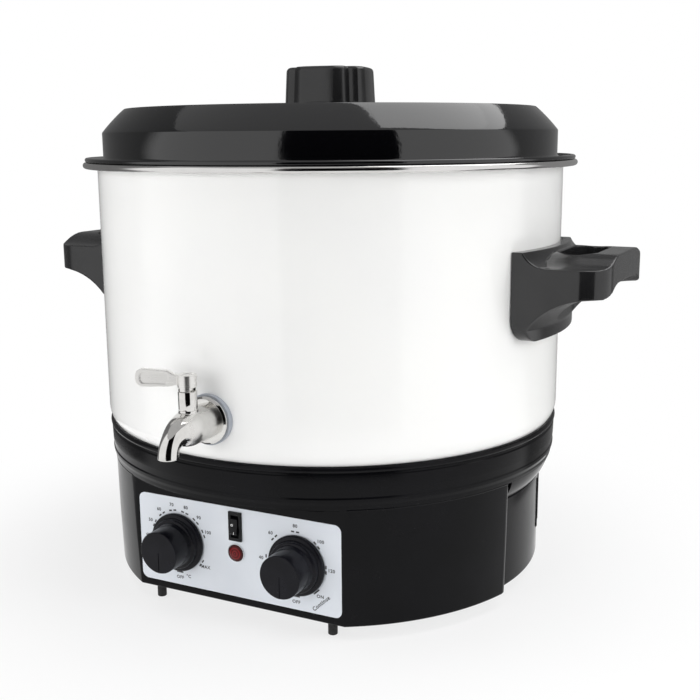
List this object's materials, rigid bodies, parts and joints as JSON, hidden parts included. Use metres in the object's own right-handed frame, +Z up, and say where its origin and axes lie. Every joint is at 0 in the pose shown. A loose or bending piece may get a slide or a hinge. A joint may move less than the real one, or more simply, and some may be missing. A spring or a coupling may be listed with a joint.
{
  "type": "candle wax melter",
  "caption": "Electric wax melting pot: white enamelled drum with black lid and side handles, a steel front tap, and a black base with thermostat, timer, switch and pilot lamp.",
  "frame": {"origin": "on the pot's axis, level with the undersides of the feet", "axes": "+Z up along the pot's axis; -Y is the front, where the tap and the control panel are; +X is to the right seen from the front"},
  "size_m": [0.4566, 0.4132, 0.3819],
  "materials": {
    "enamel_white": "glossy white enamel",
    "rim_steel": "polished rolled steel",
    "lid_enamel": "glossy black enamel",
    "bakelite": "satin black thermoset",
    "fastener_steel": "zinc plated steel",
    "tap_steel": "polished stainless steel",
    "gasket_grey": "grey silicone",
    "base_plastic": "glossy black moulding",
    "plate_steel": "plain sheet",
    "foot_rubber": "black rubber",
    "panel_silver": "satin silver-blue plate",
    "rocker_black": "black moulding with white marks",
    "lamp_trim": "bright ring",
    "lamp_red": "red lens",
    "control_body": "pale moulding",
    "element_sheath": "heat-darkened sheath",
    "bulb_copper": "bare copper"
  },
  "bodies": {
    "appliance": {"pot": "enamel_white", "rim_band": "rim_steel", "handle_left": "bakelite", "handle_right": "bakelite", "handle_brackets": "fastener_steel", "handle_screws": "fastener_steel", "tap_body": "tap_steel", "tap_ring": "tap_steel", "tap_gasket": "gasket_grey", "tap_inner_gasket": "gasket_grey", "tap_nut": "fastener_steel", "tap_bonnet": "tap_steel", "base_housing": "base_plastic", "seal_ring": "gasket_grey", "base_plate": "plate_steel", "base_plate_screws": "fastener_steel", "base_nut": "fastener_steel", "feet": "foot_rubber", "control_panel": "panel_silver", "rocker_frame": "base_plastic", "lamp_ring": "lamp_trim", "lamp_lens": "lamp_red", "lamp_body": "control_body", "thermostat_body": "control_body", "thermostat_nut": "fastener_steel", "timer_body": "control_body", "timer_nut": "fastener_steel", "pot_stud": "fastener_steel", "heat_spreader": "plate_steel", "heating_element": "element_sheath", "element_clamp": "fastener_steel", "clamp_nut": "fastener_steel", "heat_shield": "plate_steel", "shield_nut": "fastener_steel", "sensor_bulb": "bulb_copper", "thermal_cutout": "control_body", "terminal_block": "control_body", "cord_gland": "base_plastic", "cord_gland_nut": "rocker_black"},
    "lid": {"lid": "lid_enamel", "lid_knob": "bakelite", "lid_knob_washer": "fastener_steel", "lid_knob_screw": "fastener_steel"},
    "tap_lever": {"tap_lever": "tap_steel", "tap_lever_screw": "tap_steel", "tap_plug": "tap_steel"},
    "rocker": {"rocker": "rocker_black"},
    "thermostat_dial": {"thermostat_knob": "base_plastic", "thermostat_shaft": "fastener_steel"},
    "timer_dial": {"timer_knob": "base_plastic", "timer_shaft": "fastener_steel"}
  },
  "joints": [
    {"name": "lid_lift", "type": "slide", "parent": "appliance", "child": "lid", "axis": [0, 0, 1], "range_m": [0, 0.12]},
    {"name": "tap_lever_turn", "type": "hinge", "parent": "appliance", "child": "tap_lever", "pos_m": [0, -0.1987, 0.1513], "axis": [0, 0, 1], "range_deg": [-18, 72]},
    {"name": "rocker_switch", "type": "hinge", "parent": "appliance", "child": "rocker", "pos_m": [0, -0.1464, 0.068], "axis": [1, 0, 0], "range_deg": [0, 16]},
    {"name": "thermostat_turn", "type": "hinge", "parent": "appliance", "child": "thermostat_dial", "pos_m": [-0.0485, -0.1484, 0.0486], "axis": [0, 1, 0], "range_deg": [0, 310]},
    {"name": "timer_turn", "type": "hinge", "parent": "appliance", "child": "timer_dial", "pos_m": [0.0485, -0.1484, 0.0486], "axis": [0, 1, 0], "range_deg": [-35, 275]}
  ]
}
